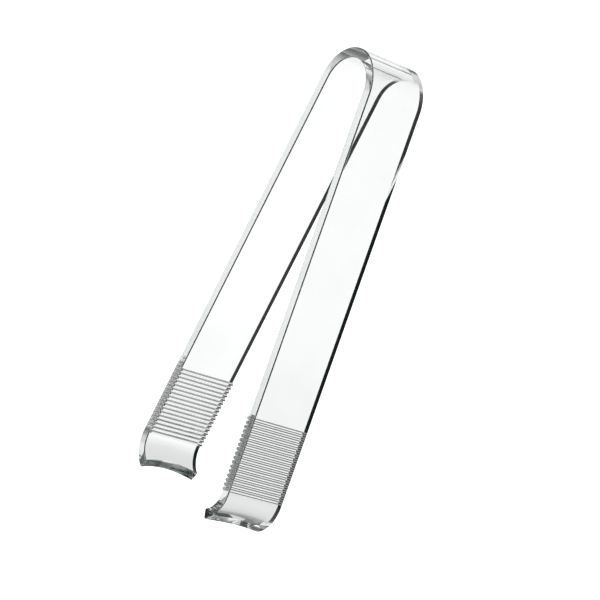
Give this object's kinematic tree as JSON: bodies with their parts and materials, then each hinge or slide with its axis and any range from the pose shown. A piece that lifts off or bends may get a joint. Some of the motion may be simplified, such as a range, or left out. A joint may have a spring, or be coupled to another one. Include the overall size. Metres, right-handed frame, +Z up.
{
  "type": "ice tongs",
  "caption": "Clear plastic ice tongs: a strip folded into a springy bow, with splayed arms, ribbed inner grips and inward-curling claws whose ends are cut to a hollow arc.",
  "frame": {"origin": "mid-thickness of the strip on top of the bow, on the side edge the tongs rest on", "axes": "+X across the opening, +Y from the claws towards the bow, +Z up through the width of the strip"},
  "size_m": [0.0602, 0.1649, 0.023],
  "materials": {
    "clear_plastic": "gloss"
  },
  "bodies": {
    "bow": {"bow": "clear_plastic"},
    "left_half": {"left_arm": "clear_plastic", "left_grip": "clear_plastic", "left_claw": "clear_plastic"},
    "right_half": {"right_arm": "clear_plastic", "right_grip": "clear_plastic", "right_claw": "clear_plastic"}
  },
  "joints": [
    {"name": "left_flex", "type": "hinge", "parent": "bow", "child": "left_half", "pos_m": [-0.01282, -0.01148, 0.0115], "axis": [0, 0, 1], "range_deg": [0, 8.25], "stiffness_Nm_per_rad": 1.8},
    {"name": "right_flex", "type": "hinge", "parent": "bow", "child": "right_half", "pos_m": [0.01282, -0.01148, 0.0115], "axis": [0, 0, -1], "range_deg": [0, 8.25], "stiffness_Nm_per_rad": 1.8}
  ],
  "couplings": [
    {"joint": "right_flex", "follows": "left_flex", "ratio": 1}
  ]
}
